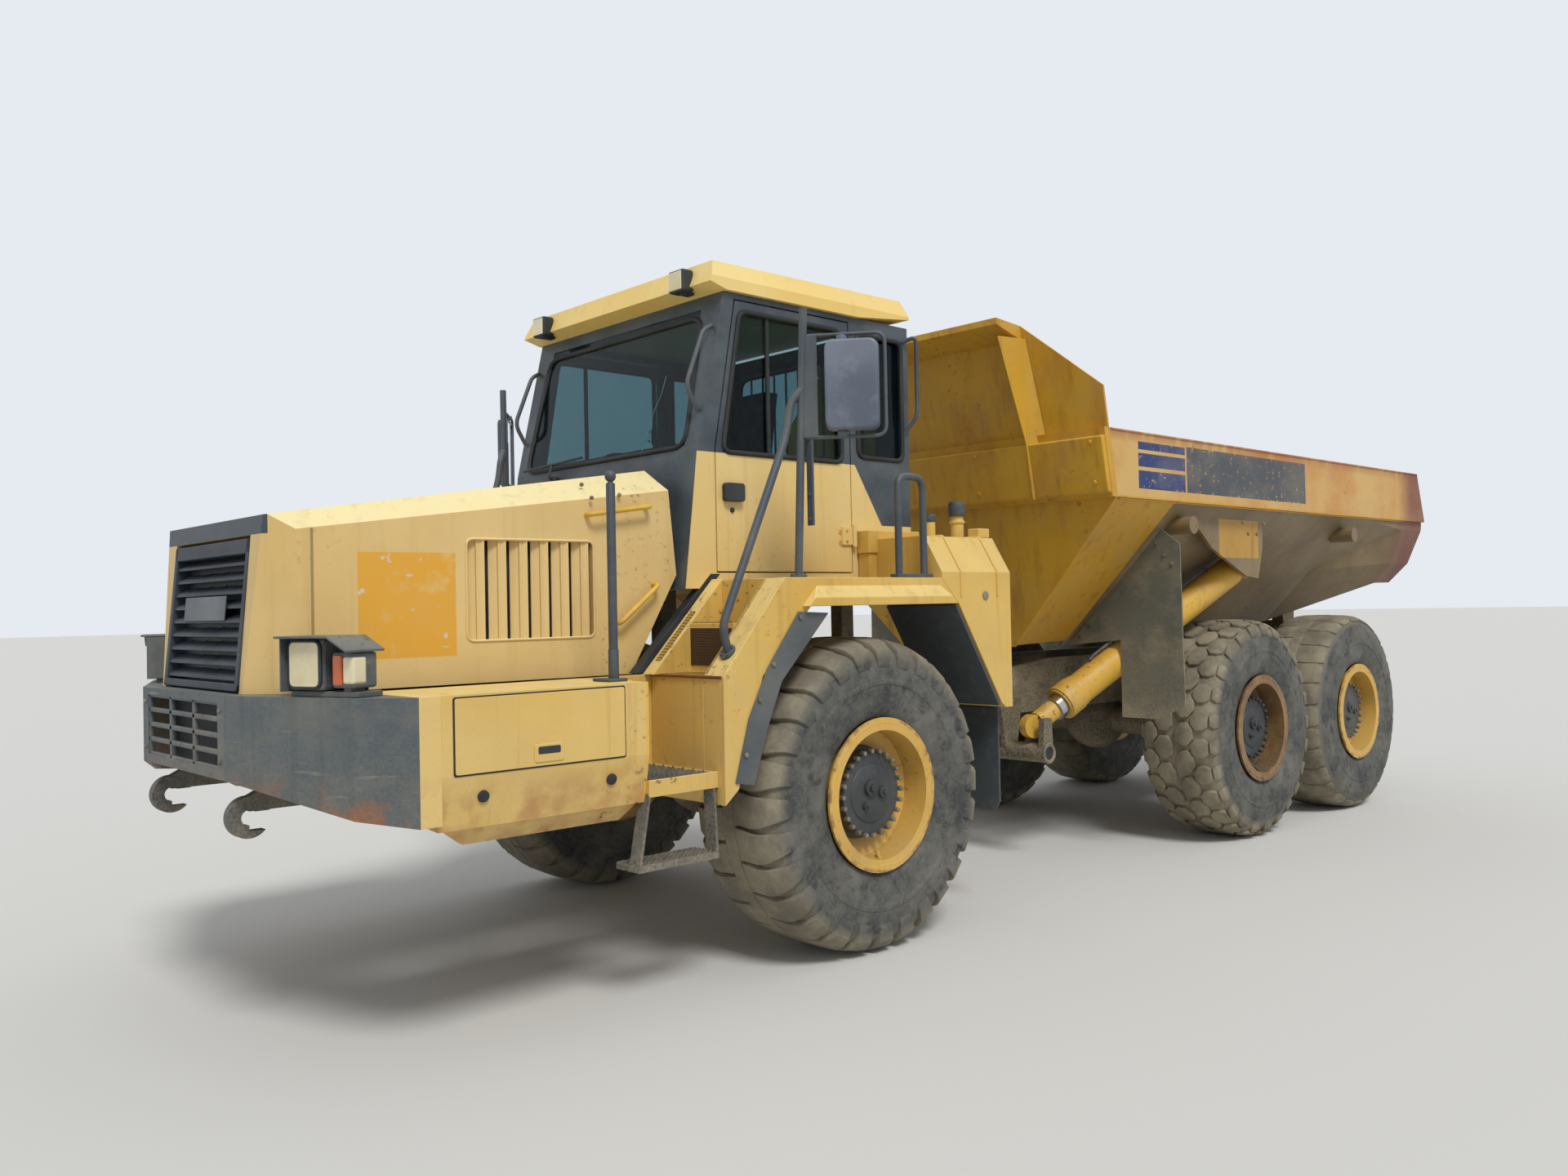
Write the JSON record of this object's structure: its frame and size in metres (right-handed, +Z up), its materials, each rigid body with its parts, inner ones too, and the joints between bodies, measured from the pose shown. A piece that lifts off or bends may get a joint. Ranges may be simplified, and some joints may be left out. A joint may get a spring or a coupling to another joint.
{
  "type": "articulated dump truck",
  "caption": "Articulated dump truck: tractor with a cab and long hood, steering hitch, rear bogie chassis, tipping body on telescopic cylinders.",
  "frame": {"origin": "middle of the machine's length and width, on the ground under the tyres", "axes": "+X forwards, +Y to the driver's left, +Z up"},
  "size_m": [10.21, 3.4676, 3.5698],
  "materials": {
    "chassis_steel": "worn paint",
    "fender_yellow": "worn paint",
    "hood_cream": "faded paint",
    "body_yellow": "worn paint",
    "black_plastic": "matte",
    "rubber": "matte",
    "tyre": "dusty",
    "cab_glass": "gloss",
    "cylinder_chrome": "polished",
    "seat_fabric": "matte",
    "rim_yellow": "worn paint"
  },
  "bodies": {
    "tractor": {"front_frame": "chassis_steel", "front_axle": "chassis_steel", "engine_block": "chassis_steel", "bumper": "chassis_steel", "tow_hooks": "chassis_steel", "hood": "hood_cream", "grille": "black_plastic", "side_fairings": "fender_yellow", "fenders": "fender_yellow", "steps": "chassis_steel", "side_tanks": "fender_yellow", "rubber_flaps": "rubber", "cab_shell": "hood_cream", "cab_roof": "hood_cream", "cab_glass": "cab_glass", "cab_seat": "seat_fabric", "cab_controls": "black_plastic", "rails_and_mirrors": "chassis_steel", "lamps": "black_plastic"},
    "door_left": {"door_left": "hood_cream", "door_glass_left": "cab_glass"},
    "door_right": {"door_right": "hood_cream", "door_glass_right": "cab_glass"},
    "hitch": {"hitch": "chassis_steel"},
    "rear_chassis": {"rear_frame": "chassis_steel", "rear_axles": "chassis_steel", "bogie_beams": "chassis_steel", "hoist_feet": "chassis_steel", "tow_jaw": "chassis_steel"},
    "bed": {"dump_body": "body_yellow", "headboard": "body_yellow", "body_guards": "chassis_steel"},
    "wheel_front_left": {"tyre_front_left": "tyre", "rim_front_left": "rim_yellow"},
    "wheel_front_right": {"tyre_front_right": "tyre", "rim_front_right": "rim_yellow"},
    "wheel_mid_left": {"tyre_mid_left": "tyre", "rim_mid_left": "rim_yellow"},
    "wheel_mid_right": {"tyre_mid_right": "tyre", "rim_mid_right": "rim_yellow"},
    "wheel_rear_left": {"tyre_rear_left": "tyre", "rim_rear_left": "rim_yellow"},
    "wheel_rear_right": {"tyre_rear_right": "tyre", "rim_rear_right": "rim_yellow"},
    "steer_tube_left": {"steer_tube_left": "chassis_steel"},
    "steer_rod_left": {"steer_rod_left": "cylinder_chrome"},
    "hoist_tube_left": {"hoist_tube_left": "body_yellow"},
    "hoist_stage_left": {"hoist_stage_left": "cylinder_chrome"},
    "hoist_rod_left": {"hoist_rod_left": "cylinder_chrome"},
    "steer_tube_right": {"steer_tube_right": "chassis_steel"},
    "steer_rod_right": {"steer_rod_right": "cylinder_chrome"},
    "hoist_tube_right": {"hoist_tube_right": "body_yellow"},
    "hoist_stage_right": {"hoist_stage_right": "cylinder_chrome"},
    "hoist_rod_right": {"hoist_rod_right": "cylinder_chrome"}
  },
  "joints": [
    {"name": "steer", "type": "hinge", "parent": "tractor", "child": "hitch", "pos_m": [0.755, 0, 1.03], "axis": [0, 0, 1], "range_deg": [-45, 45]},
    {"name": "roll", "type": "hinge", "parent": "hitch", "child": "rear_chassis", "pos_m": [0.755, 0, 1.03], "axis": [1, 0, 0], "range_deg": [-10, 10]},
    {"name": "tip_bed", "type": "hinge", "parent": "rear_chassis", "child": "bed", "pos_m": [-4.395, 0, 1.5], "axis": [0, -1, 0], "range_deg": [0, 70]},
    {"name": "door_left_open", "type": "hinge", "parent": "tractor", "child": "door_left", "pos_m": [1.805, 0.88, 2.6], "axis": [0, 0, 1], "range_deg": [0, 65]},
    {"name": "door_right_open", "type": "hinge", "parent": "tractor", "child": "door_right", "pos_m": [1.805, -0.88, 2.6], "axis": [0, 0, -1], "range_deg": [0, 65]},
    {"name": "wheel_front_left_spin", "type": "hinge", "parent": "tractor", "child": "wheel_front_left", "pos_m": [2.205, 1.142, 0.8], "axis": [0, 1, 0], "continuous": true},
    {"name": "wheel_front_right_spin", "type": "hinge", "parent": "tractor", "child": "wheel_front_right", "pos_m": [2.205, -1.142, 0.8], "axis": [0, 1, 0], "continuous": true},
    {"name": "wheel_mid_left_spin", "type": "hinge", "parent": "rear_chassis", "child": "wheel_mid_left", "pos_m": [-1.925, 1.142, 0.8], "axis": [0, 1, 0], "continuous": true},
    {"name": "wheel_mid_right_spin", "type": "hinge", "parent": "rear_chassis", "child": "wheel_mid_right", "pos_m": [-1.925, -1.142, 0.8], "axis": [0, 1, 0], "continuous": true},
    {"name": "wheel_rear_left_spin", "type": "hinge", "parent": "rear_chassis", "child": "wheel_rear_left", "pos_m": [-3.635, 1.142, 0.8], "axis": [0, 1, 0], "continuous": true},
    {"name": "wheel_rear_right_spin", "type": "hinge", "parent": "rear_chassis", "child": "wheel_rear_right", "pos_m": [-3.635, -1.142, 0.8], "axis": [0, 1, 0], "continuous": true},
    {"name": "steer_tube_left_turn", "type": "hinge", "parent": "tractor", "child": "steer_tube_left", "pos_m": [1.705, 0.36, 1.03], "axis": [0, 0, 1], "range_deg": [-12, 12]},
    {"name": "steer_rod_left_slide", "type": "slide", "parent": "steer_tube_left", "child": "steer_rod_left", "axis": [-0.9984, -0.0571, 0], "range_m": [-0.4, 0.4]},
    {"name": "hoist_tube_left_swing", "type": "hinge", "parent": "bed", "child": "hoist_tube_left", "pos_m": [-1.995, 1.19, 1.99], "axis": [0.104, 0.9937, 0.0416], "range_deg": [-2, 80]},
    {"name": "hoist_stage_left_slide", "type": "slide", "parent": "hoist_tube_left", "child": "hoist_stage_left", "axis": [0.8351, -0.2496, -0.4902], "range_m": [-0.01, 1.45]},
    {"name": "hoist_rod_left_slide", "type": "slide", "parent": "hoist_stage_left", "child": "hoist_rod_left", "axis": [0.8351, -0.2496, -0.4902], "range_m": [-0.01, 1.45]},
    {"name": "steer_tube_right_turn", "type": "hinge", "parent": "tractor", "child": "steer_tube_right", "pos_m": [1.705, -0.36, 1.03], "axis": [0, 0, 1], "range_deg": [-12, 12]},
    {"name": "steer_rod_right_slide", "type": "slide", "parent": "steer_tube_right", "child": "steer_rod_right", "axis": [-0.9984, 0.0571, 0], "range_m": [-0.4, 0.4]},
    {"name": "hoist_tube_right_swing", "type": "hinge", "parent": "bed", "child": "hoist_tube_right", "pos_m": [-1.995, -1.19, 1.99], "axis": [-0.104, 0.9937, -0.0416], "range_deg": [-2, 80]},
    {"name": "hoist_stage_right_slide", "type": "slide", "parent": "hoist_tube_right", "child": "hoist_stage_right", "axis": [0.8351, 0.2496, -0.4902], "range_m": [-0.01, 1.45]},
    {"name": "hoist_rod_right_slide", "type": "slide", "parent": "hoist_stage_right", "child": "hoist_rod_right", "axis": [0.8351, 0.2496, -0.4902], "range_m": [-0.01, 1.45]}
  ],
  "couplings": [
    {"joint": "steer_tube_left_turn", "follows": "steer", "ratio": 0.06026},
    {"joint": "steer_rod_left_slide", "follows": "steer", "m_per_rad": 0.28855},
    {"joint": "hoist_tube_left_swing", "follows": "tip_bed", "ratio": 1.1114},
    {"joint": "hoist_stage_left_slide", "follows": "tip_bed", "m_per_rad": 1.1212},
    {"joint": "hoist_rod_left_slide", "follows": "tip_bed", "m_per_rad": 1.1212},
    {"joint": "steer_tube_right_turn", "follows": "steer", "ratio": 0.06026},
    {"joint": "steer_rod_right_slide", "follows": "steer", "m_per_rad": -0.28855},
    {"joint": "hoist_tube_right_swing", "follows": "tip_bed", "ratio": 1.1114},
    {"joint": "hoist_stage_right_slide", "follows": "tip_bed", "m_per_rad": 1.1212},
    {"joint": "hoist_rod_right_slide", "follows": "tip_bed", "m_per_rad": 1.1212}
  ]
}
